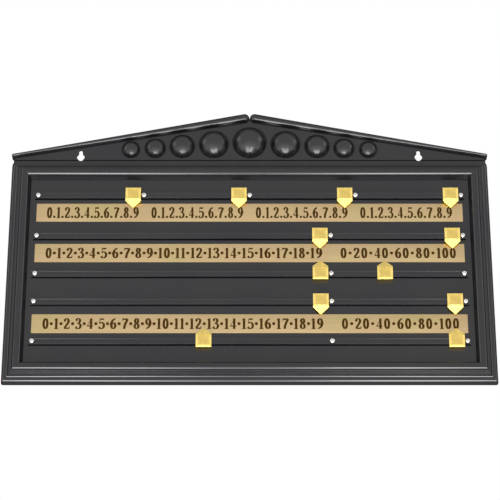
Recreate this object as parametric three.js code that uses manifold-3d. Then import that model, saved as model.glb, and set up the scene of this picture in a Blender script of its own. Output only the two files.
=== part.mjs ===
// A wall-hung snooker and billiards scoring board: one hollow black moulding with a gable top,
// three number strips, five rails held by dome-head screws, and twelve captive sliding pointers.
//
// Units are millimetres. X runs to the right and Z up as the board hangs; the front faces -Y.
// The wall is the plane y = 0, and the origin lies on it, midway between the two hanging points.
// A height h is a distance out from the wall, so it stands at y = -h.

import * as THREE from 'three';
import { mergeVertices } from 'three/addons/utils/BufferGeometryUtils.js';
import Module from 'manifold-3d';

// ---------- driving dimensions ----------

const FRAME_W = 614;          // overall width
const FRAME_H = 306.5;        // height of the rectangular frame without its gable
const WALL = 2.5;             // wall of the moulding
const LEAN = 0.25;            // how far the outer wall leans in for each millimetre of height
const HANG_UP = 320.2;        // hanging points above the frame's bottom edge
const ASSEMBLY_GAP = 0.1;     // between pieces that lie on each other
const RUN_GAP = 0.35;         // between a pointer and what it slides on

const PANEL_H = 10;           // front face of the recessed panel
const PANEL_EDGE = 27.5;      // outer edge of the frame to the panel
const GABLE_H = 8.3;          // front face of the gable plate

const TRIM_SLOPE = 0.195;     // fall of the gable's top edge over its run
const TRIM_RISE = 375.2;      // where that edge would meet the middle, above the frame's bottom
const TRIM_H = 12.6;          // crest of the sloping mouldings
const TRIM_IN = { x: 6.4, r: 6.2 };      // rounded end by the middle: place and radius
const TRIM_OUT = { x: 305, r: 1.9 };     // rounded end by the corner
const TRIM_WALL = 2.2;

const BALL_LOW = 312.2;       // lowest point of every half ball, above the frame's bottom
const BALL_SUNK = 0.22;       // part of its radius that a ball's centre lies behind the plate
// Half balls from the middle outwards: place and radius where it meets the plate.
const BALLS = [[0, 21.5], [46.3, 18.8], [87.1, 16], [122, 13.2], [153.3, 11.3]];
const BALL_SIDES = 16;

const KEYHOLE_X = 218;        // keyholes either side of the middle
const KEYHOLE_R = 4.9;        // round part, which passes a screw's head
const KEYHOLE_DROP = 7.4;     // round part's centre below the hanging point
const NECK_R = 2.4;           // half the width of the slot that holds the shank

const STRIP_W = 543;
const STRIP_H = 25.4;
const STRIP_T = 0.5;

const RAIL_W = 549;           // length of a rail
const LIP = { half: 4.25, t: 1.4 };      // rail's lip: half its width, thickness
const WEB = { half: 2.3, t: 2 };         // web that holds the lip off the panel
const RAIL_TOP = PANEL_H + ASSEMBLY_GAP + WEB.t + LIP.t;

const HEAD = { r: 3.25, t: 2.5 };        // dome-head screw
const SHANK = { r: 1.4, l: 9.5 };
const BOSS_R = 4;
const PILOT_GAP = 0.2;        // between a screw's plain shank and its pilot hole
const RAIL_HOLE_GAP = 0.3;    // between the shank and the rail's hole
const RIB_T = 1.6;
const GABLE_RIBS = [24.5, 68, 106, 138.6, 190, 246];     // between the half balls, on both sides

const POINTER_HALF = 10;      // half the width of a pointer
const BODY_HALF = 9.25;       // half the height of its square body
const TIP_REACH = 17.75;      // its point, from the middle of the rail
const FACE_UP = 7.4;          // its face above the panel
const FOOT_UP = 0.4;          // its feet above the panel
const BEVEL = { w: 2.5, t: 1.1 };
const TIP_UP = 1.9;           // top of the point's end above the panel
const TIP_CLEAR = 1.1;        // underside of the point above the panel, clear of a strip
const STOP = POINTER_HALF + HEAD.r + 0.3;     // a pointer's middle to a screw's at a stop

// Middle of each number strip above the frame's bottom.
const STRIPS = { frames_strip: 231.8, upper_score_strip: 175.1, lower_score_strip: 78.2 };

// Rows from the top: the rail's height above the frame's bottom, its screws, whether its pointers
// point up or down, and where they stand. A pointer runs between the screws on both sides of it.
const QUARTERS = [-270, -135, 0, 135, 270];
const UNITS_AND_TWENTIES = [-270, 102.5, 270];
const AT_STOPS = [102.5 - STOP, 270 - STOP];
const ROWS = [
  { name: 'rail_1', up: 255.5, screws: QUARTERS, dir: -1, at: QUARTERS.slice(1).map((x) => x - STOP) },
  { name: 'rail_2', up: 198.5, screws: UNITS_AND_TWENTIES, dir: -1, at: AT_STOPS },
  { name: 'rail_3', up: 145.8, screws: UNITS_AND_TWENTIES, dir: 1, at: [102.5 - STOP, 170] },
  { name: 'rail_4', up: 107.6, screws: UNITS_AND_TWENTIES, dir: -1, at: AT_STOPS },
  { name: 'rail_5', up: 54, screws: UNITS_AND_TWENTIES, dir: 1, at: [-57, 270 - STOP] },
];

// ---------- materials ----------

const blackPlastic = new THREE.MeshStandardMaterial({ color: 0x19191c, roughness: 0.2 });
const goldPlastic = new THREE.MeshStandardMaterial({ color: 0xe3c468, roughness: 0.28, metalness: 0.8 });
const goldSheet = new THREE.MeshStandardMaterial({ color: 0xc9ac74, roughness: 0.4, metalness: 0.7 });
const brightSteel = new THREE.MeshStandardMaterial({ color: 0xd2d1cc, roughness: 0.2, metalness: 1 });

// ---------- solids ----------

const wasm = await Module();
wasm.setup();

function solid(geometry) {
  const bare = geometry.clone();
  bare.deleteAttribute('normal');
  bare.deleteAttribute('uv');
  const merged = mergeVertices(bare, 1e-4);
  return new wasm.Manifold(new wasm.Mesh({
    numProp: 3,
    vertProperties: Float32Array.from(merged.attributes.position.array),
    triVerts: Uint32Array.from(merged.index.array),
  }));
}

function geometryOf(body) {
  const { vertProperties, triVerts } = body.getMesh();
  const geometry = new THREE.BufferGeometry();
  geometry.setAttribute('position', new THREE.BufferAttribute(vertProperties, 3));
  geometry.setIndex(new THREE.BufferAttribute(triVerts, 1));
  geometry.computeVertexNormals();
  return geometry;
}

const join = (first, ...more) => more.reduce((sum, body) => sum.add(body), first);
const cut = (first, ...tools) => tools.reduce((rest, tool) => rest.subtract(tool), first);

// A flat outline in X and Z with its thickness between two heights.
function plate(shape, low, high, bevel = { bevelEnabled: false }) {
  const geometry = new THREE.ExtrudeGeometry(shape, { depth: high - low, curveSegments: 10, ...bevel });
  geometry.rotateX(Math.PI / 2);
  return solid(geometry.translate(0, -low, 0));
}

function block(x, z, width, height, low, high) {
  const geometry = new THREE.BoxGeometry(width, high - low, height);
  return solid(geometry.translate(x, -(low + high) / 2, z));
}

// A round body about an axis that stands out from the wall; its profile is radius and height.
function turned(profile, x, z, segments = 12) {
  const points = profile.map(([r, h]) => new THREE.Vector2(r, h));
  const geometry = new THREE.LatheGeometry(points, segments);
  geometry.rotateX(Math.PI);
  return solid(geometry.translate(x, 0, z));
}

function pin(x, z, r, low, high, segments = 12) {
  return turned([[0, low], [r, low], [r, high], [0, high]], x, z, segments);
}

// A long body centred on x = 0; its section is a height in Z and a height above the wall.
function bar(section, length, z) {
  const shape = new THREE.Shape(section.map(([s, h]) => new THREE.Vector2(s, h)));
  const geometry = new THREE.ExtrudeGeometry(shape, { depth: length, bevelEnabled: false });
  const across = new THREE.Vector3(0, 0, 1);
  const outwards = new THREE.Vector3(0, -1, 0);
  const along = new THREE.Vector3(1, 0, 0);
  geometry.applyMatrix4(new THREE.Matrix4().makeBasis(across, outwards, along));
  return solid(geometry.translate(-length / 2, 0, z));
}

// ---------- board moulding ----------

// Section of the frame: distance in from its outer edge, and height. The front runs up the leaning
// outer wall and over a flat band, a stepped ogee, the flat crest and the inner wall; the hollow back
// follows it.
const FRAME_SECTION = [
  [0, 0], [7.6 * LEAN, 7.6], [2.7, 8.9], [4, 9.3], [8, 9.3], [8.8, 10], [10.7, 13.1], [12.1, 13.2],
  [12.5, 15.9], [13.5, 16.1], [15.1, 19.8], [16.2, 20.6], [22.8, 20.6], [23.6, 19.9], [24.6, 12.9],
  [26.1, 12.5], [PANEL_EDGE, PANEL_H], [PANEL_EDGE, PANEL_H - WALL],
  [24.2, PANEL_H - WALL], [22.2, 11.4], [21.3, 18.1], [16.8, 18.1], [14.6, 13.6], [13.2, 10.9],
  [10.2, 6.8], [WALL + 6.8 * LEAN, 6.8], [WALL, 0], [0, 0],
];

// The section goes round a square lathe, whose two halves are then moved apart to the full width.
function frameRing() {
  const half = FRAME_H / 2;
  const points = FRAME_SECTION.map(([v, h]) => new THREE.Vector2(Math.SQRT2 * (half - v), h));
  const geometry = new THREE.LatheGeometry(points, 4, Math.PI / 4);
  geometry.rotateX(Math.PI);
  const position = geometry.attributes.position;
  const shift = (FRAME_W - FRAME_H) / 2;
  for (let i = 0; i < position.count; i += 1) {
    position.setX(i, position.getX(i) + Math.sign(position.getX(i)) * shift);
  }
  return solid(geometry.translate(0, 0, half));
}

// A bar with two round ends of unlike radius, as an outline.
function taperedBar(a, b) {
  const along = Math.atan2(b.z - a.z, b.x - a.x);
  const spread = Math.acos((a.r - b.r) / Math.hypot(b.x - a.x, b.z - a.z));
  const shape = new THREE.Shape();
  shape.absarc(a.x, a.z, a.r, along + spread, along - spread + 2 * Math.PI, false);
  shape.absarc(b.x, b.z, b.r, along - spread, along + spread, false);
  return shape;
}

// Centre of a circle that touches the gable's sloping top edge from below.
function trimEnd({ x, r }) {
  return { x, z: TRIM_RISE - TRIM_SLOPE * x - r * Math.hypot(1, TRIM_SLOPE), r };
}

const mirrored = (body) => body.mirror([1, 0, 0]);

function gable() {
  const base = FRAME_H - 4;     // inside the frame's upper band
  const inner = trimEnd(TRIM_IN);
  const outer = trimEnd(TRIM_OUT);
  const edge = FRAME_W / 2 - GABLE_H * LEAN - 0.3;
  const outline = new THREE.Shape([
    [-edge, base], [edge, base], [edge, outer.z], [inner.x, inner.z], [-inner.x, inner.z],
    [-edge, outer.z],
  ].map(([x, z]) => new THREE.Vector2(x, z)));

  // The moulding's hollow stops short of the corner, where the bar gets too narrow for it.
  const hollowPart = 0.77;
  const hollowEnd = Object.fromEntries(['x', 'z', 'r'].map(
    (key) => [key, THREE.MathUtils.lerp(inner[key], outer[key], hollowPart)],
  ));
  const thinner = (end) => ({ ...end, r: end.r - TRIM_WALL });
  const trim = cut(
    plate(taperedBar(inner, outer), 0, TRIM_H),
    plate(taperedBar(thinner(inner), thinner(hollowEnd)), -1, TRIM_H - WALL),
  );
  const endTop = GABLE_H - 0.5;
  const endSection = new THREE.Shape([
    [0, 0], [-endTop * LEAN, endTop], [-endTop * LEAN - WALL, endTop], [-WALL, 0],
  ].map(([x, h]) => new THREE.Vector2(FRAME_W / 2 + x, -h)));
  const endWall = solid(new THREE.ExtrudeGeometry(endSection, {
    depth: outer.z - base, bevelEnabled: false,
  }).translate(0, 0, base));
  const ribs = GABLE_RIBS.map((x) => {
    const top = TRIM_RISE - TRIM_SLOPE * x - 2 * BOSS_R;
    return block(x, (base + top) / 2, RIB_T, top - base, 0, GABLE_H - 1);
  });
  const half = join(trim, endWall, ...ribs);
  return join(plate(outline, GABLE_H - WALL, GABLE_H), half, mirrored(half));
}

function quarterArc(radius, low, from, steps) {
  return Array.from({ length: steps + 1 }, (_, i) => {
    const angle = from + (i / steps) * (Math.PI / 2 - from);
    return [i === steps ? 0 : radius * Math.cos(angle), low + radius * Math.sin(angle)];
  });
}

// A hollow half ball on the gable plate, open at the back.
function ball(x, r) {
  const radius = r / Math.sqrt(1 - BALL_SUNK ** 2);
  const low = GABLE_H - BALL_SUNK * radius;
  const from = Math.asin(BALL_SUNK);
  const outside = quarterArc(radius, low, from, 4);
  const inside = quarterArc(radius - WALL, low, from, 3).reverse();
  const root = GABLE_H - WALL / 2;
  const profile = [[r, root], ...outside, ...inside, [inside.at(-1)[0], root], [r, root]];
  return turned(profile, x, BALL_LOW + r, BALL_SIDES);
}

const ballSides = BALLS.flatMap(([x, r]) => (x === 0 ? [[x, r]] : [[x, r], [-x, r]]));

function keyhole(x) {
  const meet = Math.asin(NECK_R / KEYHOLE_R);
  const up = Math.PI / 2;
  const z = HANG_UP;
  const shape = new THREE.Shape();
  shape.absarc(x, z - KEYHOLE_DROP, KEYHOLE_R, up + meet, up - meet + 2 * Math.PI, false);
  shape.absarc(x, z, NECK_R, 0, Math.PI, false);
  return plate(shape, GABLE_H - 2 * WALL, GABLE_H + WALL);
}

function boardMoulding() {
  const inset = 2 * PANEL_EDGE - WALL;       // the panel's edges lie inside the frame's wall
  const panelW = FRAME_W - inset;
  const panelH = FRAME_H - inset;
  const panel = block(0, FRAME_H / 2, panelW, panelH, PANEL_H - WALL, PANEL_H);
  const under = PANEL_H - WALL / 2;
  const rowRibs = ROWS.map(({ up }) => block(0, up, panelW, RIB_T, 0, under));
  const places = ROWS.flatMap(({ up, screws }) => screws.map((x) => [x, up]));
  const bosses = places.map(([x, up]) => pin(x, up, BOSS_R, 0, under, 10));
  const pilots = places.map(([x, up]) => pin(x, up, SHANK.r + PILOT_GAP, WALL, PANEL_H + 1, 8));
  const balls = ballSides.map(([x, r]) => ball(x, r));
  const wells = ballSides.map(([x, r]) => pin(x, BALL_LOW + r, r - WALL / 2, 0, GABLE_H + 1, BALL_SIDES));
  const top = cut(gable(), ...wells, keyhole(KEYHOLE_X), keyhole(-KEYHOLE_X));
  const body = join(frameRing(), panel, ...rowRibs, ...bosses, top, ...balls);
  return cut(body, ...pilots);
}

// ---------- strips, rails and screws ----------

function strip(up) {
  const low = PANEL_H + ASSEMBLY_GAP;
  return block(0, up, STRIP_W, STRIP_H, low, low + STRIP_T);
}

const LIP_ROUND = 0.45;       // chamfer that stands for the lip's rounded edges

function rail({ up, screws }) {
  const low = PANEL_H + ASSEMBLY_GAP;
  const lip = low + WEB.t;
  const right = [
    [WEB.half, low], [WEB.half, lip], [LIP.half, lip], [LIP.half, RAIL_TOP - LIP_ROUND],
    [LIP.half - LIP_ROUND, RAIL_TOP],
  ];
  const left = right.map(([s, h]) => [-s, h]).reverse();
  const holes = screws.map((x) => pin(x, up, SHANK.r + RAIL_HOLE_GAP, PANEL_H - 1, RAIL_TOP + 1, 10));
  return cut(bar([...right, ...left], RAIL_W, up), ...holes);
}

function screw(x, up) {
  const seat = RAIL_TOP + ASSEMBLY_GAP;
  const tip = RAIL_TOP - SHANK.l;
  const rim = 0.4;
  const steps = 3;
  const dome = Array.from({ length: steps + 1 }, (_, i) => {
    const angle = (i / steps) * (Math.PI / 2);
    return [i === steps ? 0 : HEAD.r * Math.cos(angle), seat + rim + (HEAD.t - rim) * Math.sin(angle)];
  });
  const profile = [[0, tip], [SHANK.r, tip + 1.5], [SHANK.r, seat], [HEAD.r, seat], ...dome];
  const top = seat + HEAD.t;
  const slot = { long: 3.4, wide: 0.7, deep: 1.1 };
  return cut(
    turned(profile, x, up, 10),
    block(x, up, slot.long, slot.wide, top - slot.deep, top + 1),
    block(x, up, slot.wide, slot.long, top - slot.deep, top + 1),
  );
}

// ---------- pointers ----------

// A square body with a point that slants down to the strip. It stands over the rail, and two
// feet reach under the rail's lip. It is made pointing up, about the rail's middle line.
function pointer() {
  const half = POINTER_HALF;
  const house = new THREE.Shape([
    [-half, -BODY_HALF], [half, -BODY_HALF], [half, BODY_HALF], [0, TIP_REACH], [-half, BODY_HALF],
  ].map(([x, z]) => new THREE.Vector2(x, z)));

  // The face's bevel is made at both ends of a deeper body, and the lower end is cut off.
  const top = PANEL_H + FACE_UP;
  const bevelled = plate(house, 0, top - BEVEL.t, {
    bevelEnabled: true, bevelThickness: BEVEL.t, bevelSize: BEVEL.w, bevelOffset: -BEVEL.w,
    bevelSegments: 1,
  });
  const waste = 4 * half;
  const foot = block(0, 0, waste, waste, -waste, PANEL_H + FOOT_UP);
  const underTip = block(0, BODY_HALF + waste / 2, waste, waste, 0, PANEL_H + TIP_CLEAR);

  const bend = BODY_HALF - BEVEL.w;
  const slant = bar([
    [bend, top], [TIP_REACH, PANEL_H + TIP_UP], [TIP_REACH + waste, PANEL_H + TIP_UP],
    [TIP_REACH + waste, top + waste], [bend, top + waste],
  ], waste, 0);

  const lipLow = PANEL_H + ASSEMBLY_GAP + WEB.t - RUN_GAP;
  const lipSlot = block(0, 0, waste, 2 * (LIP.half + RUN_GAP), lipLow, RAIL_TOP + RUN_GAP);
  const webSlot = block(0, 0, waste, 2 * (WEB.half + RUN_GAP), 0, RAIL_TOP);
  return cut(bevelled, foot, underTip, slant, lipSlot, webSlot);
}

// ---------- assembly ----------

const board = new THREE.Group();
board.position.z = -HANG_UP;

function add(name, body, material) {
  const mesh = new THREE.Mesh(geometryOf(body), material);
  mesh.name = name;
  board.add(mesh);
  return mesh;
}

add('board_moulding', boardMoulding(), blackPlastic);
for (const [name, up] of Object.entries(STRIPS)) add(name, strip(up), goldSheet);

const upPointer = pointer();
const downPointer = upPointer.rotate([0, 180, 0]);
for (const row of ROWS) {
  add(row.name, rail(row), blackPlastic);
  row.screws.forEach((x, i) => add(`${row.name}_screw_${i + 1}`, screw(x, row.up), brightSteel));
  row.at.forEach((x, i) => {
    const body = row.dir > 0 ? upPointer : downPointer;
    const mesh = add(`${row.name}_pointer_${i + 1}`, body, goldPlastic);
    mesh.position.set(x, 0, row.up);
  });
}

const scoringBoard = new THREE.Group();
scoringBoard.add(board);

export default scoringBoard;
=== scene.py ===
"""Looks of a wall-hung snooker and billiards scoring board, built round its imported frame."""
import math

import bmesh
import bpy
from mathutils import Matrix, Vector

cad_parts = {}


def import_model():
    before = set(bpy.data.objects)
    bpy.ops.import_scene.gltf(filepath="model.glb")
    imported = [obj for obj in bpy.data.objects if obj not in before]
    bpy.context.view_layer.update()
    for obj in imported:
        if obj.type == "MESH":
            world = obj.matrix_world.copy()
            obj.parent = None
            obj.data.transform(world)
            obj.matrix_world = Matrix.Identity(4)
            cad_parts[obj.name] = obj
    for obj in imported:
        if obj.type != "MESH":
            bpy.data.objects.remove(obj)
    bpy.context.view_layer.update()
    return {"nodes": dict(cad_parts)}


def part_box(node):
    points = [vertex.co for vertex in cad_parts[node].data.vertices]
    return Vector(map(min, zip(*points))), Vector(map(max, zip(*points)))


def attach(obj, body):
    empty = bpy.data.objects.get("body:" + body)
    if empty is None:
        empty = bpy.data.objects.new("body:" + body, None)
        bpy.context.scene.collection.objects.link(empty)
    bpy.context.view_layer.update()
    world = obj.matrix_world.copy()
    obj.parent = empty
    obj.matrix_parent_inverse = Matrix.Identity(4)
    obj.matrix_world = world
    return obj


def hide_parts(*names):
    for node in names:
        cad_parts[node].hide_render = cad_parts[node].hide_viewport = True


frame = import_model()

MM = 0.001

# ---------- places from the frame ----------

# Shapes are drawn in millimetres: x to the right, h out from the wall, and z up from the
# bottom of the frame.
LOW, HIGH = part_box("board_moulding")
ORIGIN = Vector((0, 0, LOW.z))
STRIPS = ("frames_strip", "upper_score_strip", "lower_score_strip")
RAILS = tuple(f"rail_{i}" for i in range(1, 6))


def span(node):
    """Lowest and highest x, h and z of a CAD node in the drawing's millimetres."""
    low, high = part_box(node)
    low, high = (low - ORIGIN) / MM, (high - ORIGIN) / MM
    return (low.x, -high.y, low.z), (high.x, -low.y, high.z)


def centre(node):
    low, high = span(node)
    return (low[0] + high[0]) / 2, (low[2] + high[2]) / 2


SCREWS = tuple(n for n in frame["nodes"] if "_screw_" in n)
POINTERS = tuple(n for n in frame["nodes"] if "_pointer_" in n)

# ---------- sizes of the moulding ----------

BOARD_W = (HIGH.x - LOW.x) / MM
FRAME_H = 306.5
WALL = 2.5
LEAN = 0.25                   # how far the outer wall leans in for each millimetre of height
CORNER_R = 3.2                # rounding of the frame's outer corners
PANEL_H = 10.0
PANEL_EDGE = 27.5
GABLE_H = 8.3

# Section of the frame: distance in from its edge, height, and radius of the rounding there.
# The step up to the crest is steeper than 56 degrees, or it shines as one wide band.
BAND_H = 9.3
FRAME_FRONT = [
    (BAND_H * LEAN, BAND_H, 4.8), (7.6, BAND_H, 2.9), (10.1, 13.15, 0.3), (12.1, 13.2, 0.3),
    (12.45, 16, 0.25), (13.5, 16.1, 0.2), (15.5, 20.6, 4.5), (23.1, 20.6, 5.0),
    (27.1, PANEL_H, 0), (PANEL_EDGE, PANEL_H, 0),
]
FRAME_BACK = [
    (PANEL_EDGE, PANEL_H - WALL, 0), (24.2, PANEL_H - WALL, 0.6), (22.2, 11.4, 0.8),
    (21.3, 18.1, 0.8), (16.8, 18.1, 0.8), (14.6, 13.6, 0.8), (13.2, 10.9, 0.8), (10.2, 6.8, 0.8),
    (WALL + 6.8 * LEAN, 6.8, 0.6), (WALL, 0, 0.4), (0, 0, 0.4),
]

TRIM_SLOPE = 0.199
TRIM_RISE = 376.5
TRIM_H = 14.6
TRIM_IN = (6.4, 6.2)          # rounded end by the middle: place and radius
TRIM_OUT = (305.0, 1.9)
TRIM_WALL = 2.2
TRIM_HOLLOW = 0.77            # share of its length that is hollow

BALL_LOW = 312.2
BALL_SUNK = 0.22
BALLS = [(0, 21.5), (46.3, 18.8), (87.1, 16), (122, 13.2), (153.3, 11.3)]

KEYHOLE_X = 218.0
KEYHOLE_UP = -LOW.z / MM
KEYHOLE_R = 4.9
KEYHOLE_DROP = 7.4
NECK_R = 2.4

BOSS_R = 4.0
PILOT_R = 1.5
RIB_T = 1.6
GABLE_RIBS = (24.5, 68, 106, 138.6, 190, 246)

# ---------- mesh helpers ----------


def placed(name, data, at=(0, 0, 0)):
    made = bpy.data.objects.new(name, data)
    made.location = at
    bpy.context.scene.collection.objects.link(made)
    return made


def piece(name, vertices, faces, at=ORIGIN):
    """A mesh object from points (x, h, z) in millimetres about a place in metres."""
    mesh = bpy.data.meshes.new(name)
    mesh.from_pydata([(x * MM, -h * MM, z * MM) for x, h, z in vertices], [], faces)
    work = bmesh.new()
    work.from_mesh(mesh)
    bmesh.ops.remove_doubles(work, verts=work.verts, dist=1e-7)
    bmesh.ops.recalc_face_normals(work, faces=work.faces)
    work.to_mesh(mesh)
    work.free()
    return placed(name, mesh, at)


def loft(name, loops, closed=False, at=ORIGIN):
    """A closed body through loops of equally many points.

    It is capped at both ends, unless it closes on itself.
    """
    count = len(loops[0])
    vertices = [p for loop in loops for p in loop]
    faces = []
    for i in range(len(loops) if closed else len(loops) - 1):
        a, b = i * count, (i + 1) % len(loops) * count
        for j in range(count):
            k = (j + 1) % count
            faces.append((a + j, a + k, b + k, b + j))
    if not closed:
        faces.append(tuple(range(count)))
        faces.append(tuple(range(len(vertices) - count, len(vertices))))
    return piece(name, vertices, faces, at)


def plate(name, outline, low, high):
    """A flat outline in x and z with its thickness between two heights."""
    return loft(name, [[(x, h, z) for x, z in outline] for h in (low, high)])


def block(name, x, z, width, height, low, high):
    half, up = width / 2, height / 2
    outline = [(x - half, z - up), (x + half, z - up), (x + half, z + up), (x - half, z + up)]
    return plate(name, outline, low, high)


def circle(x, z, r, count):
    turn = [2 * math.pi * (i + 0.5) / count for i in range(count)]
    return [(x + r * math.cos(t), z + r * math.sin(t)) for t in turn]


def turned(name, profile, x, z, count, closed=False, at=ORIGIN):
    """A round body about an axis out from the wall; its profile is radius and height."""
    loops = [[(a, h, b) for a, b in circle(x, z, r, count)] for r, h in profile]
    return loft(name, loops, closed, at)


def arc(a, b, r, start, end, steps):
    """Points on an arc about (a, b), with angles in degrees."""
    turn = [math.radians(start + (end - start) * i / steps) for i in range(steps + 1)]
    return [(a + r * math.cos(t), b + r * math.sin(t)) for t in turn]


def rounded(corners, step=15):
    """A closed outline from corners (a, b, radius), rounded in steps of about so many degrees."""
    outline = []
    for i, (a, b, r) in enumerate(corners):
        here = Vector((a, b))
        if r == 0:
            outline.append((a, b))
            continue
        back = (Vector(corners[i - 1][:2]) - here).normalized()
        on = (Vector(corners[(i + 1) % len(corners)][:2]) - here).normalized()
        half = back.angle(on) / 2
        middle = here + (back + on).normalized() * r / math.sin(half)
        start = here + back * r / math.tan(half) - middle
        turn = start.angle_signed(here + on * r / math.tan(half) - middle)
        steps = max(1, math.ceil(math.degrees(abs(turn)) / step))
        first = math.degrees(math.atan2(start.y, start.x))
        outline += arc(*middle, r, first, first - math.degrees(turn), steps)
    return outline


def applied(obj):
    """Turns an object's modifiers into its mesh."""
    bpy.context.view_layer.update()
    whole = obj.evaluated_get(bpy.context.evaluated_depsgraph_get())
    mesh = bpy.data.meshes.new_from_object(whole)
    obj.modifiers.clear()
    obj.data = mesh
    return obj


def boolean(target, tools, operation):
    """Joins the tools to the target, or cuts them from it, and removes them."""
    group = bpy.data.collections.new("tools")
    for tool in tools:
        group.objects.link(tool)
    modifier = target.modifiers.new("boolean", "BOOLEAN")
    modifier.operation = operation
    modifier.operand_type = "COLLECTION"
    modifier.collection = group
    modifier.solver = "MANIFOLD"
    applied(target).data.materials.clear()
    for tool in tools:
        bpy.data.objects.remove(tool)
    bpy.data.collections.remove(group)
    return target


def join(target, *tools):
    return boolean(target, tools, "UNION")


def cut(target, *tools):
    return boolean(target, tools, "DIFFERENCE")


def smooth(obj, sharp=28):
    """Smooth shading that stays sharp where faces meet at more than so many degrees."""
    mesh = obj.data
    mesh.polygons.foreach_set("use_smooth", [True] * len(mesh.polygons))
    mesh.set_sharp_from_angle(angle=math.radians(sharp))
    return obj


def bevel(obj, width, segments=2, angle=30):
    """Rounds every edge that is sharper than the angle."""
    modifier = obj.modifiers.new("bevel", "BEVEL")
    modifier.width = width * MM
    modifier.segments = segments
    modifier.limit_method = "ANGLE"
    modifier.angle_limit = math.radians(angle)
    modifier.use_clamp_overlap = True
    return applied(obj)


def even_normals(obj):
    """Keeps large faces flat, so that only the roundings between them are shaded as curves."""
    modifier = obj.modifiers.new("normals", "WEIGHTED_NORMAL")
    modifier.keep_sharp = True
    return applied(obj)


def flat_faces(obj):
    """Merges the triangles of each flat face back into one face."""
    work = bmesh.new()
    work.from_mesh(obj.data)
    bmesh.ops.dissolve_limit(
        work, angle_limit=math.radians(0.5), verts=work.verts, edges=work.edges)
    work.to_mesh(obj.data)
    work.free()
    return obj


def finish_piece(obj, finish, slot, body, *nodes):
    obj.data.materials.clear()
    obj.data.materials.append(finish)
    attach(obj, body)
    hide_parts(*nodes)
    return obj


# ---------- materials ----------


def set_stops(line, stops):
    """Gives a colour ramp its colours, at places in rising order."""
    for element, (position, color) in zip(line.elements, (stops[0], stops[-1])):
        element.position, element.color = position, (*color, 1)
    for position, color in stops[1:-1]:
        line.elements.new(position).color = (*color, 1)


class Finish:
    """A node material with a few short ways to add what its surface varies by."""

    def __init__(self, name, color, roughness, metallic=0.0):
        self.material = bpy.data.materials.new(name)
        self.material.use_nodes = True
        tree = self.material.node_tree
        self.nodes, self.links = tree.nodes, tree.links
        self.shader = self.nodes["Principled BSDF"]
        self.shader.inputs["Base Color"].default_value = (*color, 1)
        self.shader.inputs["Roughness"].default_value = roughness
        self.shader.inputs["Metallic"].default_value = metallic
        self.place = self.nodes.new("ShaderNodeTexCoord").outputs["Object"]
        self.last_bump = None

    def stretched(self, scale):
        mapping = self.nodes.new("ShaderNodeMapping")
        mapping.inputs["Scale"].default_value = scale
        self.links.new(self.place, mapping.inputs["Vector"])
        return mapping.outputs["Vector"]

    def noise(self, scale, detail=2.0, rough=0.5, stretch=None):
        node = self.nodes.new("ShaderNodeTexNoise")
        node.inputs["Scale"].default_value = scale
        node.inputs["Detail"].default_value = detail
        node.inputs["Roughness"].default_value = rough
        place = self.stretched(stretch) if stretch else self.place
        self.links.new(place, node.inputs["Vector"])
        return node.outputs["Fac"]

    def cells(self, scale, stretch):
        node = self.nodes.new("ShaderNodeTexVoronoi")
        node.feature = "SMOOTH_F1"
        node.inputs["Scale"].default_value = scale
        node.inputs["Smoothness"].default_value = 0.6
        self.links.new(self.stretched(stretch), node.inputs["Vector"])
        return node.outputs["Distance"]

    def ramp(self, value, stops):
        """Colours at places from 0 to 1; a value's usual range is about 0.3 to 0.7."""
        node = self.nodes.new("ShaderNodeValToRGB")
        set_stops(node.color_ramp, stops)
        self.links.new(value, node.inputs["Fac"])
        return node.outputs["Color"]

    def scaled(self, value, low, high):
        node = self.nodes.new("ShaderNodeMapRange")
        node.inputs["From Min"].default_value = 0.3
        node.inputs["From Max"].default_value = 0.7
        node.inputs["To Min"].default_value = low
        node.inputs["To Max"].default_value = high
        self.links.new(value, node.inputs["Value"])
        return node.outputs["Result"]

    def mixed(self, value, first, second):
        node = self.nodes.new("ShaderNodeMix")
        node.data_type = "RGBA"
        self.links.new(value, node.inputs["Factor"])
        self.links.new(first, node.inputs["A"])
        self.links.new(second, node.inputs["B"])
        return node.outputs["Result"]

    def color(self, value):
        self.links.new(value, self.shader.inputs["Base Color"])
        return self

    def roughness(self, value):
        self.links.new(value, self.shader.inputs["Roughness"])
        return self

    def bump(self, value, depth, strength=1.0):
        """Adds relief of so many millimetres on top of any relief that is there."""
        node = self.nodes.new("ShaderNodeBump")
        node.inputs["Distance"].default_value = depth * MM
        node.inputs["Strength"].default_value = strength
        self.links.new(value, node.inputs["Height"])
        if self.last_bump:
            self.links.new(self.last_bump, node.inputs["Normal"])
        self.last_bump = node.outputs["Normal"]
        self.links.new(self.last_bump, self.shader.inputs["Normal"])
        return self


def black_plastic(name, rough=0.1, pebbles=0.0, shine=0.5):
    """Black plastic, a little uneven as it comes from the mould.

    Pebbles is the depth of its pebbled texture in millimetres.
    """
    made = Finish(name, (0.005, 0.005, 0.006), rough)
    made.shader.inputs["Specular IOR Level"].default_value = shine
    tone = made.noise(7, 3)
    made.color(made.ramp(tone, [(0.35, (0.0032, 0.0032, 0.0055)), (0.65, (0.0065, 0.006, 0.0065))]))
    made.roughness(made.scaled(made.noise(30, 4, 0.6), rough, rough + 0.07))
    made.bump(made.noise(16, 2), 0.25, 0.5)
    made.bump(made.noise(750, 2), 0.004, 0.6)
    if pebbles:
        made.bump(made.cells(1, (360, 360, 210)), pebbles)
    return made.material


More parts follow.
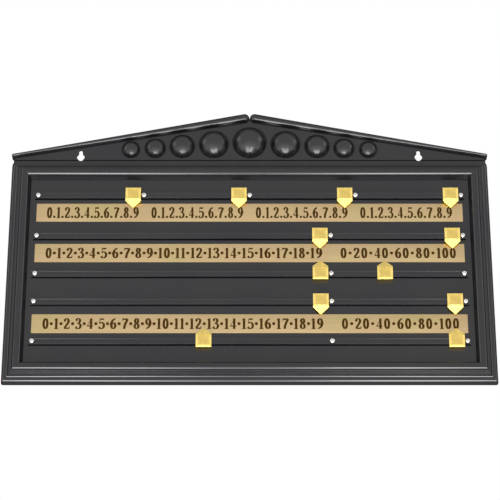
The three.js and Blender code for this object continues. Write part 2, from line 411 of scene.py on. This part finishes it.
def gold_sheet():
    """Satin anodised sheet, brushed along its length, with faint drifts of colour."""
    made = Finish("gold_sheet", (0.62, 0.43, 0.19), 0.36, 1.0)
    brushed = made.noise(1, 3, 0.6, stretch=(14, 900, 900))
    drift = made.noise(13, 2)
    warm = made.ramp(drift, [
        (0.3, (0.42, 0.355, 0.15)), (0.42, (0.475, 0.365, 0.18)), (0.55, (0.5, 0.34, 0.2)),
        (0.7, (0.455, 0.365, 0.185))])
    light = made.ramp(brushed, [(0.3, (0.44, 0.33, 0.15)), (0.7, (0.53, 0.405, 0.22))])
    made.color(made.mixed(made.scaled(brushed, 0.25, 0.75), warm, light))
    made.roughness(made.scaled(brushed, 0.3, 0.44))
    made.bump(brushed, 0.006, 0.6)
    return made.material


def gold_plastic(name, color, roughness, grain):
    """Bright metallised plastic; the satin centre of a face has a coarser grain."""
    made = Finish(name, color, roughness, 1.0)
    tone = made.noise(160, 3)
    deep = tuple(c * 0.86 for c in color)
    made.color(made.ramp(tone, [(0.35, deep), (0.65, color)]))
    made.roughness(made.scaled(made.noise(400, 2), roughness * 0.8, roughness * 1.25))
    made.bump(made.noise(1500, 2), grain)
    made.bump(made.noise(60, 1), 0.02, 0.4)
    return made.material


def bright_steel():
    made = Finish("bright_steel", (0.72, 0.71, 0.69), 0.22, 1.0)
    made.color(made.ramp(made.noise(900, 2), [(0.3, (0.6, 0.59, 0.57)), (0.7, (0.8, 0.79, 0.77))]))
    made.roughness(made.scaled(made.noise(1400, 2), 0.16, 0.3))
    made.bump(made.noise(2200, 2), 0.004)
    return made.material


def printed_ink():
    made = Finish("printed_ink", (0.04, 0.02, 0.002), 0.6)
    made.shader.inputs["Specular IOR Level"].default_value = 0.05
    made.color(made.ramp(made.noise(260, 3), [
        (0.35, (0.025, 0.012, 0.001)), (0.65, (0.046, 0.022, 0.002))]))
    made.roughness(made.scaled(made.noise(500, 2), 0.5, 0.7))
    made.bump(made.noise(1800, 2), 0.003)
    return made.material


GLOSS = black_plastic("moulded_black")
PEBBLED = black_plastic("pebbled_black", 0.25, 0.2, 0.52)    # half balls
SOFT = black_plastic("soft_black", 0.2)                      # sloping mouldings
WALL_SHADE_PAINT = black_plastic("wall_painted_shade_black", 0.35, shine=0.25)     # painted shade: the frame's inner wall, in the same plastic with half its shine so that it looks darker
RAIL_BLACK = black_plastic("rail_black")
SHEET = gold_sheet()
POINTER_BRIGHT = gold_plastic("pointer_bright", (0.95, 0.71, 0.21), 0.22, 0.003)
POINTER_SATIN = gold_plastic("pointer_satin", (0.72, 0.53, 0.145), 0.34, 0.012)
STEEL = bright_steel()
INK = printed_ink()

# ---------- board moulding ----------


def frame_ring():
    """The frame's section swept round the board, with mitred mouldings and rounded corners."""
    section = rounded([*FRAME_FRONT, *FRAME_BACK])
    loops = []
    steps = 5
    for quarter in range(4):
        right, top = quarter in (0, 3), quarter in (0, 1)
        for i in range(steps + 1):
            turn = math.radians(90 * (quarter + i / steps))
            loop = []
            for v, h in section:
                if v < CORNER_R:
                    a = CORNER_R - (CORNER_R - v) * abs(math.cos(turn))
                    b = CORNER_R - (CORNER_R - v) * abs(math.sin(turn))
                else:
                    a = b = v
                x = BOARD_W / 2 - a
                loop.append((x if right else -x, h, FRAME_H - b if top else b))
            loops.append(loop)
    return loft("moulding", loops, closed=True)


def trim_end(x, r):
    """Centre and radius of a circle that touches the gable's sloping edge from below."""
    return x, TRIM_RISE - TRIM_SLOPE * x - r * math.hypot(1, TRIM_SLOPE), r


def tapered_bar(a, b, shrink=0.0, share=1.0, steps=14):
    """Outline of a bar with two round ends, drawn in by an amount or to a share of its width."""
    (ax, az, ar), (bx, bz, br) = a, b
    along = math.degrees(math.atan2(bz - az, bx - ax))
    spread = math.degrees(math.acos((ar - br) / math.hypot(bx - ax, bz - az)))
    ar, br = (ar - shrink) * share, (br - shrink) * share
    start = arc(ax, az, ar, along + spread, along - spread + 360, steps)
    return start + arc(bx, bz, br, along - spread, along + spread, steps)


def sloping_trim(side):
    """One sloping moulding of half-round section, and its hollow."""
    inner, outer = trim_end(*TRIM_IN), trim_end(*TRIM_OUT)
    foot = GABLE_H - 0.35
    crown = arc(0, 0, 1, 0, 84, 14)
    profile = [(1.0, 0)] + [(share, foot + h * (TRIM_H - foot)) for share, h in crown]
    loops = [
        [(side * x, h, z) for x, z in tapered_bar(inner, outer, share=share)]
        for share, h in profile
    ]
    body = loft("trim", loops)
    mix = [a + (b - a) * TRIM_HOLLOW for a, b in zip(inner, outer)]
    inside = [(side * x, z) for x, z in tapered_bar(inner, mix, TRIM_WALL)]
    return body, plate("trim_hollow", inside, -1, TRIM_H - 2 * WALL)


GABLE_BASE = FRAME_H - 4      # inside the frame's upper band
GABLE_INSET = 1.8             # of the gable's end walls from the frame's outer edge


def gable_plate():
    inner, outer = trim_end(*TRIM_IN), trim_end(*TRIM_OUT)
    edge = BOARD_W / 2 - GABLE_INSET - GABLE_H * LEAN - 0.3
    outline = [(-edge, GABLE_BASE), (edge, GABLE_BASE), (edge, outer[1]), inner[:2],
               (-inner[0], inner[1]), (-edge, outer[1])]
    return plate("gable", outline, GABLE_H - WALL, GABLE_H)


def band_ledge():
    """The frame's upper band, carried on up to a rounded step down to the gable plate."""
    top, low = FRAME_H + 0.4, FRAME_H - 4.6
    height = BAND_H - 0.01
    under = GABLE_H - 1.5
    section = rounded([(low, under, 0), (top, under, 0), (top, height, 0.85), (low, height, 0)])
    edge = BOARD_W / 2 - height * LEAN - 0.6
    return loft("ledge", [[(x, h, z) for z, h in section] for x in (-edge, edge)])


def half_ball(x, r):
    """A hollow half ball that stands in a shallow groove in the gable plate."""
    radius = r / math.sqrt(1 - BALL_SUNK ** 2)
    low = GABLE_H - BALL_SUNK * radius
    start = math.degrees(math.asin(BALL_SUNK))
    outside = arc(0, low, radius, start, 90, 14)
    inside = arc(0, low, radius - WALL, 90, start, 10)
    outside[-1], inside[0] = (0, outside[-1][1]), (0, inside[0][1])
    foot = GABLE_H - WALL / 2
    profile = [(r, foot), *outside, *inside, (inside[-1][0], foot)]
    return turned("ball", profile, x, BALL_LOW + r, 48, closed=True)


def groove(x, r):
    """The ring that is cut round a ball's foot."""
    wide, deep = 1.1, 0.7
    profile = [(r - 0.4, GABLE_H + 1), (r - 0.4, GABLE_H - deep), (r + wide * 0.6, GABLE_H - deep),
               (r + wide, GABLE_H + 0.05), (r + wide, GABLE_H + 1)]
    return turned("groove", profile, x, BALL_LOW + r, 48, closed=True)


def keyhole(x):
    meet = math.degrees(math.asin(NECK_R / KEYHOLE_R))
    outline = arc(x, KEYHOLE_UP - KEYHOLE_DROP, KEYHOLE_R, 90 + meet, 450 - meet, 24)
    outline += arc(x, KEYHOLE_UP, NECK_R, 0, 180, 8)
    return plate("keyhole", outline, GABLE_H - 2 * WALL, GABLE_H + WALL)


def band_groove():
    """The narrow groove between the frame's upper band and the gable plate."""
    return block("groove", 0, FRAME_H + 1.2, BOARD_W - 8, 1.7, GABLE_H - 1.4, GABLE_H + 0.9)


def upper_groove():
    """The narrow groove at the foot of the upper rail's moulding."""
    return block("groove", 0, FRAME_H - 8.4, BOARD_W - 19, 2.2, BAND_H - 1.5, BAND_H + 1)


def gable_braces():
    """Leaning end walls and upright ribs behind the gable plate."""
    outer = trim_end(*TRIM_OUT)[1]
    high = GABLE_H - 0.5
    made = []
    for side in (-1, 1):
        foot = BOARD_W / 2 - GABLE_INSET
        head = foot - high * LEAN
        section = [(foot, 0), (head, high), (head - WALL, high), (foot - WALL, 0)]
        loops = [[(side * x, h, z) for x, h in section] for z in (GABLE_BASE, outer)]
        made.append(loft("end", loops))
        for x in GABLE_RIBS:
            top = TRIM_RISE - TRIM_SLOPE * x - 2 * BOSS_R
            middle = (GABLE_BASE + top) / 2
            made.append(block("rib", side * x, middle, RIB_T, top - GABLE_BASE, 0, GABLE_H - 1))
    return made


MOULDING_FINISHES = (PEBBLED, SOFT, WALL_SHADE_PAINT)
INNER_WALL = 24               # where the frame's inner wall begins, in from its edge


def board_moulding():
    balls = [(side * x, r) for x, r in BALLS for side in ((1,) if x == 0 else (1, -1))]
    trims = [sloping_trim(side) for side in (1, -1)]
    wells = [
        turned("well", [(0, 0), (r - 1, 0), (r - 1, GABLE_H + 1), (0, GABLE_H + 1)],
               x, BALL_LOW + r, 48)
        for x, r in balls
    ]
    top = join(gable_plate(), band_ledge(), *[body for body, _ in trims], *gable_braces())
    cut(top, *[hollow for _, hollow in trims], *wells, keyhole(KEYHOLE_X), keyhole(-KEYHOLE_X))
    cut(top, band_groove(), *[groove(x, r) for x, r in balls])

    inset = 2 * PANEL_EDGE - WALL
    wide, tall = BOARD_W - inset, FRAME_H - inset
    panel = block("panel", 0, FRAME_H / 2, wide, tall, PANEL_H - WALL, PANEL_H)
    under = PANEL_H - WALL / 2
    ribs = [block("rib", 0, centre(rail)[1], wide, RIB_T, 0, under) for rail in RAILS]
    places = [centre(screw) for screw in SCREWS]
    boss = [(0, 0), (BOSS_R, 0), (BOSS_R, under), (0, under)]
    bosses = [turned("boss", boss, *p, 28) for p in places]
    pilot = [(0, WALL), (PILOT_R, WALL), (PILOT_R, PANEL_H + 1), (0, PANEL_H + 1)]
    pilots = [turned("pilot", pilot, *p, 16) for p in places]
    body = join(frame_ring(), panel, *ribs, *bosses, top)
    cut(body, upper_groove(), *pilots)

    join(body, *[half_ball(x, r) for x, r in balls])
    even_normals(smooth(body))
    for finish in (GLOSS, *MOULDING_FINISHES):
        body.data.materials.append(finish)
    ball, trim, inner_wall = (i + 1 for i in range(len(MOULDING_FINISHES)))
    for face in body.data.polygons:
        x, h, z = face.center.x / MM, -face.center.y / MM, face.center.z / MM
        inwards = min(BOARD_W / 2 - abs(x), z, FRAME_H - z)
        on_gable = h > GABLE_H + 0.05
        if on_gable and any(math.hypot(x - a, z - BALL_LOW - r) < r + 0.05 for a, r in balls):
            face.material_index = ball
        elif on_gable and z > FRAME_H + 1:
            face.material_index = trim
        # The inner wall takes the plastic with half the shine: painted shade, darker than the same
        # plastic elsewhere.
        elif h > PANEL_H + 0.1 and INNER_WALL < inwards < PANEL_EDGE:
            face.material_index = inner_wall
    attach(body, "root")
    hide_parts("board_moulding")


# ---------- numerals ----------

# Digits are drawn with a pen in parts of their height: thick on upright strokes and thin on
# level ones.
THICK = 0.212
THIN = 0.075
DIGIT_W = 0.54
ONE_W = 0.37
INK_T = 0.04                  # millimetres that the ink stands above the strip
INK_SUNK = 0.02


def curve(points, closed=False, steps=7):
    """A smooth line through the points."""
    count = len(points)
    line = []
    for i in range(count if closed else count - 1):
        p = [Vector(points[(i + k) % count] if closed else points[max(0, min(count - 1, i + k))])
             for k in (-1, 0, 1, 2)]
        for j in range(steps):
            t = j / steps
            line.append(0.5 * (2 * p[1] + (p[2] - p[0]) * t
                               + (2 * p[0] - 5 * p[1] + 4 * p[2] - p[3]) * t ** 2
                               + (3 * p[1] - p[0] - 3 * p[2] + p[3]) * t ** 3))
    return line if closed else [*line, Vector(points[-1])]


def stroke(line, closed=False, even=None):
    """A pen stroke along a line, as a flat closed body; even fixes its width."""
    count = len(line)
    loops = []
    for i, here in enumerate(line):
        before = line[i - 1] if closed or i else here
        after = line[(i + 1) % count] if closed or i < count - 1 else here
        way = (after - before).normalized()
        width = even or THIN + (THICK - THIN) * abs(way.y) ** 1.25
        side = Vector((-way.y, way.x)) * width / 2
        a, b = here + side, here - side
        loops.append([(a.x, -INK_SUNK, a.y), (b.x, -INK_SUNK, b.y),
                      (b.x, INK_T, b.y), (a.x, INK_T, a.y)])
    return loft("stroke", loops, closed)


def bowl(x, y, rx, ry):
    """A closed oval whose outer edge has these half widths."""
    turn = [2 * math.pi * i / 40 for i in range(40)]
    rx, ry = rx - THICK / 2, ry - THIN / 2
    return stroke([Vector((x + rx * math.cos(t), y + ry * math.sin(t))) for t in turn], closed=True)


def bar(x0, y0, x1, y1, even=None):
    return stroke([Vector((x0, y0)), Vector((x1, y1))], even=even)


def blob(x, y, r):
    outline = circle(x, y, r, 20)
    return loft("blob", [[(a, h, b) for a, b in outline] for h in (-INK_SUNK, INK_T)])


def digit_strokes(digit):
    """The strokes of one digit in a box one high."""
    if digit == "0":
        return [bowl(0.27, 0.5, 0.27, 0.5)]
    if digit == "1":
        return [bar(0.2, 0.02, 0.2, 1), bar(0.02, 0.022, 0.37, 0.022, THIN),
                bar(0.21, 0.955, 0.01, 0.84, 0.06)]
    if digit == "2":
        top = [(0.08, 0.74), (0.12, 0.89), (0.255, 0.975), (0.39, 0.89), (0.42, 0.735),
               (0.35, 0.53), (0.2, 0.29), (0.07, 0.1)]
        return [stroke(curve(top)), blob(0.105, 0.755, 0.075), bar(0.03, 0.065, 0.49, 0.065, 0.13),
                bar(0.465, 0.03, 0.515, 0.25, THIN)]
    if digit == "3":
        top = [(0.075, 0.79), (0.13, 0.92), (0.255, 0.977), (0.375, 0.9), (0.4, 0.76),
               (0.335, 0.61), (0.17, 0.535)]
        low = [(0.17, 0.535), (0.33, 0.5), (0.445, 0.38), (0.455, 0.23), (0.37, 0.07),
               (0.22, 0.023), (0.09, 0.09), (0.07, 0.17)]
        return [stroke(curve(top)), stroke(curve(low)), blob(0.11, 0.79, 0.07),
                blob(0.1, 0.175, 0.075)]
    if digit == "4":
        return [bar(0.36, 0, 0.36, 1), bar(0.4, 0.985, 0.03, 0.29, 0.055),
                bar(0.01, 0.27, 0.53, 0.27, 0.1)]
    if digit == "5":
        low = [(0.09, 0.53), (0.22, 0.615), (0.36, 0.57), (0.455, 0.42), (0.45, 0.22),
               (0.36, 0.07), (0.21, 0.023), (0.09, 0.08), (0.07, 0.16)]
        return [stroke(curve(low)), bar(0.1, 0.93, 0.47, 0.93, 0.14),
                bar(0.12, 0.99, 0.085, 0.5, 0.055), blob(0.105, 0.165, 0.075)]
    if digit == "6":
        back = [(0.46, 0.965), (0.32, 0.905), (0.18, 0.76), (0.09, 0.54), (0.077, 0.33)]
        return [bowl(0.275, 0.31, 0.27, 0.31), stroke(curve(back))]
    if digit == "7":
        leg = [(0.5, 0.94), (0.41, 0.73), (0.3, 0.47), (0.235, 0.22), (0.215, 0)]
        return [stroke(curve(leg), even=THICK), bar(0.03, 0.925, 0.5, 0.925, 0.14),
                bar(0.055, 0.98, 0.035, 0.74, 0.05)]
    if digit == "8":
        waist = [(0.1, 0.74), (0.17, 0.61), (0.36, 0.44), (0.45, 0.28)]
        return [bowl(0.27, 0.755, 0.235, 0.245), bowl(0.27, 0.265, 0.268, 0.265),
                stroke(curve(waist), even=0.12)]
    back = [(0.08, 0.035), (0.22, 0.095), (0.36, 0.24), (0.45, 0.46), (0.463, 0.67)]
    return [bowl(0.265, 0.69, 0.265, 0.31), stroke(curve(back))]


def digit_mesh(digit):
    first, *more = digit_strokes(digit)
    body = join(first, *more) if more else first
    mesh = body.data
    bpy.data.objects.remove(body)
    return mesh


DIGITS = {digit: digit_mesh(digit) for digit in "0123456789"}


class Label:
    """A number of one or more digits, with its width in millimetres."""

    gap = 1.9

    def __init__(self, text, height, squeeze):
        self.text, self.height, self.squeeze = text, height, squeeze
        self.widths = [(ONE_W if c == "1" else DIGIT_W) * height * squeeze for c in text]
        self.width = sum(self.widths) + self.gap * (len(text) - 1)

    def write(self, work, x, z, h):
        """Adds the digits to a mesh, from x on, about the line z."""
        for digit, width in zip(self.text, self.widths):
            before = len(work.verts)
            work.from_mesh(DIGITS[digit])
            work.verts.ensure_lookup_table()
            for vertex in work.verts[before:]:
                a, y, b = vertex.co
                vertex.co = (
                    (x + a / MM * self.height * self.squeeze) * MM,
                    y - h * MM,
                    (z + (b / MM - 0.5) * self.height) * MM,
                )
            x += width + self.gap


def run(work, numbers, left, right, z, h, height, squeeze, dot_r, dot_up):
    """Writes numbers from left to right with equal spaces and a dot in the middle of each space."""
    labels = [Label(str(n), height, squeeze) for n in numbers]
    space = (right - left - sum(label.width for label in labels)) / (len(labels) - 1)
    x = left
    for i, label in enumerate(labels):
        label.write(work, x, z, h)
        x += label.width + space
        if i < len(labels) - 1:
            dot = blob(0, 0, dot_r)
            before = len(work.verts)
            work.from_mesh(dot.data)
            work.verts.ensure_lookup_table()
            bmesh.ops.translate(
                work, verts=work.verts[before:],
                vec=((x - space / 2) * MM, -h * MM, (z + dot_up) * MM))
            bpy.data.objects.remove(dot)


def numerals(strip):
    """The printed numbers of one strip, as one thin piece."""
    low, high = span(strip)
    z, h = (low[2] + high[2]) / 2, high[1]
    work = bmesh.new()
    if strip == "frames_strip":
        height = 15.2
        dot_r = 1.6
        for group in range(4):
            left = -258.2 + 133.05 * group
            run(work, range(10), left, left + 116.8, z, h, height, 0.82, dot_r, dot_r - height / 2)
    else:
        height = 14.2
        run(work, range(20), -257.7, 91.5, z, h, height, 1, 2.05, 0)
        run(work, range(0, 101, 20), 114.8, 260.5, z, h, height, 1, 2.05, 0)
    mesh = bpy.data.meshes.new(f"{strip}_numerals")
    work.to_mesh(mesh)
    work.free()
    made = placed(f"{strip}_numerals", mesh, ORIGIN)
    made.data.materials.append(INK)
    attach(made, "root")


def strip_plate(strip):
    low, high = span(strip)
    radius = 0.8
    corners = [(low[0], low[2]), (high[0], low[2]), (high[0], high[2]), (low[0], high[2])]
    outline = rounded([(x, z, radius) for x, z in corners], 22)
    made = plate(f"{strip}_plate", outline, low[1], high[1])
    smooth(bevel(flat_faces(made), 0.12, 2, 60))
    finish_piece(made, SHEET, "strip_gold", "root", strip)


# ---------- rails and screws ----------

LIP = (4.25, 1.4)             # rail's lip: half its width, thickness
WEB_HALF = 2.3


def rail(node):
    """A rail of T section, with rounded lips and a low bead along its upper edge."""
    low, high = span(node)
    base, top = low[1], high[1]
    half, thick = LIP
    corners = [
        (-WEB_HALF, base, 0), (WEB_HALF, base, 0), (WEB_HALF, top - thick, 0.3),
        (half, top - thick, 0.35), (half, top, 0.65), (2.75, top, 0.1), (2.6, top - 0.12, 0.1),
        (-half, top - 0.12, 0.2), (-half, top - thick, 0.35), (-WEB_HALF, top - thick, 0.3),
    ]
    middle = centre(node)[1]
    section = rounded(corners)
    loops = [[(x, h, middle + s) for s, h in section] for x in (low[0], high[0])]
    made = loft(f"{node}_bar", loops)
    smooth(made)
    finish_piece(made, RAIL_BLACK, "board_plastic", "root", node)


HEAD_R = 3.25
HEAD_T = 2.5
RIM_T = 0.35
SHANK_R = 1.4
PITCH = 0.95                  # of the screw's thread
RECESS = (3.3, 0.75)          # length and width of each slot of the cross
SCREW_TURN = 37               # degrees that each screw is turned on from the one before


def screw_mesh():
    """A dome-head screw about its own seat: a cross recess, a thin rim and a threaded shank."""
    low, high = span(SCREWS[0])
    tip, top = low[1], high[1]
    seat = top - HEAD_T
    root, neck = SHANK_R * 0.78, SHANK_R * 0.85
    profile = [(0, tip), (SHANK_R * 0.55, tip + 1)]
    turns = int((seat - tip - 2.4) / PITCH)
    for i in range(turns):
        z = tip + 1.2 + i * PITCH
        profile += [(root, z), (SHANK_R, z + 0.35 * PITCH), (root, z + 0.7 * PITCH)]
    profile += [(neck, seat - 0.5), (neck, seat), (HEAD_R - 0.15, seat), (HEAD_R, seat + 0.15)]
    crown = top - seat - RIM_T
    dome = arc(0, 0, 1, 0, 90, 9)[:-1]
    profile += [(HEAD_R * c, seat + RIM_T + crown * s) for c, s in dome] + [(0, top)]
    body = turned("screw", profile, 0, 0, 36, at=Vector())
    tools = []
    for long, wide in (RECESS, RECESS[::-1]):
        a, b = long / 2, wide / 2
        loops = [[(-a * k, h, -b * k), (a * k, h, -b * k), (a * k, h, b * k), (-a * k, h, b * k)]
                 for h, k in ((top - 1.2, 0.55), (top + 0.5, 1.12))]
        tools.append(loft("recess", loops, at=Vector()))
    cut(body, *tools)
    smooth(body, 35)
    mesh = body.data
    bpy.data.objects.remove(body)
    mesh.materials.append(STEEL)
    return mesh


def screws():
    mesh = screw_mesh()
    for i, node in enumerate(SCREWS):
        x, z = centre(node)
        made = placed(f"{node}_domed", mesh, ORIGIN + Vector((x, 0, z)) * MM)
        made.rotation_euler = (0, math.radians(SCREW_TURN * i % 90), 0)
        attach(made, "root")
        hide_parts(node)


# ---------- pointers ----------

POINTER_HALF = 9.75
BODY_HALF = 9.25
TIP_REACH = 17.75
POINTER_TOP = 17.4
BEVEL_W = 2.5
TIP_TOP = 11.9
TIP_LOW = 11.1
RUN_GAP = 0.35                # between a pointer and the rail it slides on
RIDGE = 0.7                   # height of the ridge along the slanted point
LIP_GRIP = (2.1, 3.5)         # underside and top of the rail's lip above the panel
FIELD = (0.2, 0.2)            # the satin field's distance from the bevel, and its depth


def house(shrink):
    """The pointer's outline, drawn in by so much on every side."""
    half, low = POINTER_HALF - shrink, -BODY_HALF + shrink
    slope = (TIP_REACH - BODY_HALF) / POINTER_HALF
    tip = TIP_REACH - shrink * math.hypot(1, slope)
    bend = tip - slope * half
    return [(-half, low), (half, low), (half, bend), (0, tip), (-half, bend)]


def pointer_mesh():
    """A square body with a slanted, ridged point; two feet reach under the rail's lip."""
    base = span(POINTERS[0])[0][1]
    levels = [(0, base), (0, POINTER_TOP - 0.95), (1.2, POINTER_TOP - 0.35),
              (BEVEL_W, POINTER_TOP)]
    body = loft("pointer", [[(x, h, z) for x, z in house(s)] for s, h in levels], at=Vector())

    wide = 2 * POINTER_HALF + 4
    far = TIP_REACH + 5
    bend = BODY_HALF - BEVEL_W
    fall = (POINTER_TOP - TIP_TOP) / (TIP_REACH - bend)
    section = [(-wide / 2, -RIDGE), (0, 0), (wide / 2, -RIDGE)]
    slant = [
        [(x, POINTER_TOP - fall * (z - bend) + drop, z) for x, drop in section]
        + [(wide / 2, POINTER_TOP + 9, z), (-wide / 2, POINTER_TOP + 9, z)]
        for z in (bend, far)
    ]
    lip_low, lip_top = (PANEL_H + h for h in LIP_GRIP)
    slot_half, web_half = LIP[0] + RUN_GAP, WEB_HALF + RUN_GAP

    def tool(z0, z1, h0, h1, half=wide / 2):
        loops = [[(-half, h, z0), (half, h, z0), (half, h, z1), (-half, h, z1)] for h in (h0, h1)]
        return loft("tool", loops, at=Vector())

    cut(body, loft("slant", slant, at=Vector()), tool(BODY_HALF, far, 0, TIP_LOW),
        tool(-slot_half, slot_half, lip_low - RUN_GAP, lip_top + RUN_GAP),
        tool(-web_half, web_half, 0, lip_top))
    flat_faces(body)
    bevel(body, 0.3, 2, 12)
    margin, sunk = FIELD
    half = POINTER_HALF - BEVEL_W - margin
    cut(body, tool(-BODY_HALF + BEVEL_W + margin, bend - margin,
                   POINTER_TOP - sunk, POINTER_TOP + 1, half))
    even_normals(smooth(body, 40))
    mesh = body.data
    bpy.data.objects.remove(body)
    mesh.materials.append(POINTER_BRIGHT)
    mesh.materials.append(POINTER_SATIN)
    for face in mesh.polygons:
        x, h, z = face.center.x / MM, -face.center.y / MM, face.center.z / MM
        in_field = abs(x) < half and -half < z < bend
        face.material_index = int(abs(h - POINTER_TOP + sunk) < 0.02 and in_field)
    return mesh


def pointers():
    mesh = pointer_mesh()
    for node in POINTERS:
        low, high = span(node)
        rail_up = centre(node.split("_pointer_")[0])[1]
        points_up = high[2] - rail_up > rail_up - low[2]
        at = ORIGIN + Vector(((low[0] + high[0]) / 2, 0, rail_up)) * MM
        made = placed(f"{node}_slider", mesh, at)
        if not points_up:
            made.rotation_euler = (0, math.pi, 0)
        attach(made, node)
        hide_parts(node)


# ---------- studio ----------


def soft_box(name, place, aim, width, height, power):
    light = bpy.data.lights.new(name, "AREA")
    light.shape = "RECTANGLE"
    light.size, light.size_y = width, height
    light.energy = power
    lamp = placed(name, light, place)
    lamp.rotation_euler = (Vector(aim) - Vector(place)).to_track_quat("-Z", "Y").to_euler()


# The tent's brightness by the height of the direction that one looks in, from -1 to 1.
TENT_LEVELS = [(-0.95, 2.2), (-0.45, 2.0), (-0.12, 1.2), (0.1, 1.12), (0.6, 1.08), (0.9, 0.95),
               (0.98, 0.9), (1, 0.6)]


def world():
    """A pale tent: brightest below, darker overhead and on the wall's side."""
    made = bpy.data.worlds.new("tent")
    bpy.context.scene.world = made
    made.use_nodes = True
    nodes, links = made.node_tree.nodes, made.node_tree.links
    nodes.clear()
    place = nodes.new("ShaderNodeTexCoord")
    split = nodes.new("ShaderNodeSeparateXYZ")
    links.new(place.outputs["Generated"], split.inputs["Vector"])

    front = nodes.new("ShaderNodeMapRange")
    front.interpolation_type = "SMOOTHSTEP"
    front.inputs["From Min"].default_value = 0.15
    front.inputs["From Max"].default_value = -0.3
    front.inputs["To Min"].default_value = 0.12
    front.inputs["To Max"].default_value = 1.0
    links.new(split.outputs["Y"], front.inputs["Value"])

    height = nodes.new("ShaderNodeMapRange")
    height.inputs["From Min"].default_value = -1.0
    links.new(split.outputs["Z"], height.inputs["Value"])
    ramp = nodes.new("ShaderNodeValToRGB")
    brightest = max(level for _, level in TENT_LEVELS)
    set_stops(ramp.color_ramp, [((z + 1) / 2, [level / brightest] * 3)
                                for z, level in TENT_LEVELS])
    links.new(height.outputs["Result"], ramp.inputs["Fac"])

    both = nodes.new("ShaderNodeMath")
    both.operation = "MULTIPLY"
    links.new(front.outputs["Result"], both.inputs[0])
    links.new(ramp.outputs["Color"], both.inputs[1])
    whole = nodes.new("ShaderNodeMath")
    whole.operation = "MULTIPLY"
    links.new(both.outputs["Value"], whole.inputs[0])
    whole.inputs[1].default_value = brightest

    tent = nodes.new("ShaderNodeBackground")
    links.new(whole.outputs["Value"], tent.inputs["Strength"])
    sheet = nodes.new("ShaderNodeBackground")
    path = nodes.new("ShaderNodeLightPath")
    mix = nodes.new("ShaderNodeMixShader")
    links.new(path.outputs["Is Camera Ray"], mix.inputs["Fac"])
    links.new(tent.outputs["Background"], mix.inputs[1])
    links.new(sheet.outputs["Background"], mix.inputs[2])
    out = nodes.new("ShaderNodeOutputWorld")
    links.new(mix.outputs["Shader"], out.inputs["Surface"])
    for background in (tent, sheet):
        background.inputs["Color"].default_value = (1, 1, 1, 1)


def floor():
    """A pale floor well below the board and the camera."""
    up, size = -1.75, 1.5
    corners = [(-size, -size, up), (size, -size, up), (size, size, up), (-size, size, up)]
    mesh = bpy.data.meshes.new("floor")
    mesh.from_pydata(corners, [], [(0, 1, 2, 3)])
    made = placed("floor", mesh)
    finish = Finish("floor_paper", (0.85, 0.85, 0.85), 0.7)
    tones = [(0.3, (0.83, 0.83, 0.83)), (0.7, (0.87, 0.87, 0.87))]
    finish.color(finish.ramp(finish.noise(2), tones))
    mesh.materials.append(finish.material)


CAMERA_ELEVATION = -25        # degrees
CAMERA_DISTANCE = 2.6833      # metres
CAMERA_AIM = 184.2            # millimetres above the frame's bottom
CAMERA_LENS = 152.2           # millimetres, on a sensor 36 wide
CAMERA_SHIFT = 0.0008


def camera():
    """A long lens, well below the board's middle, level and looking up at it."""
    elevation = math.radians(CAMERA_ELEVATION)
    aim = ORIGIN + Vector((0, 0, CAMERA_AIM * MM))
    back = Vector((0, -math.cos(elevation), math.sin(elevation)))
    data = bpy.data.cameras.new("camera")
    data.sensor_width = 36
    data.lens = CAMERA_LENS
    data.shift_x = CAMERA_SHIFT
    made = placed("camera", data, aim + back * CAMERA_DISTANCE)
    made.rotation_euler = (-back).to_track_quat("-Z", "Y").to_euler()
    bpy.context.scene.camera = made


def studio():
    bpy.context.scene.view_settings.view_transform = "Standard"
    world()
    floor()
    middle = Vector((0, 0, -0.15))
    below = Vector((0, -0.61, -1.2))
    soft_box("fill", middle + below, middle, 1.1, 1.0, 8.5)
    for side in (-1, 1):
        soft_box("key", middle + below + Vector((side * 0.31, 0, 0)), middle, 0.36, 0.9, 11.5)
        soft_box("side", (side * 1.5, -0.25, 0.45), middle, 0.7, 0.9, 2.5)


camera()
studio()
board_moulding()
for name in STRIPS:
    strip_plate(name)
    numerals(name)
for name in RAILS:
    rail(name)
screws()
pointers()
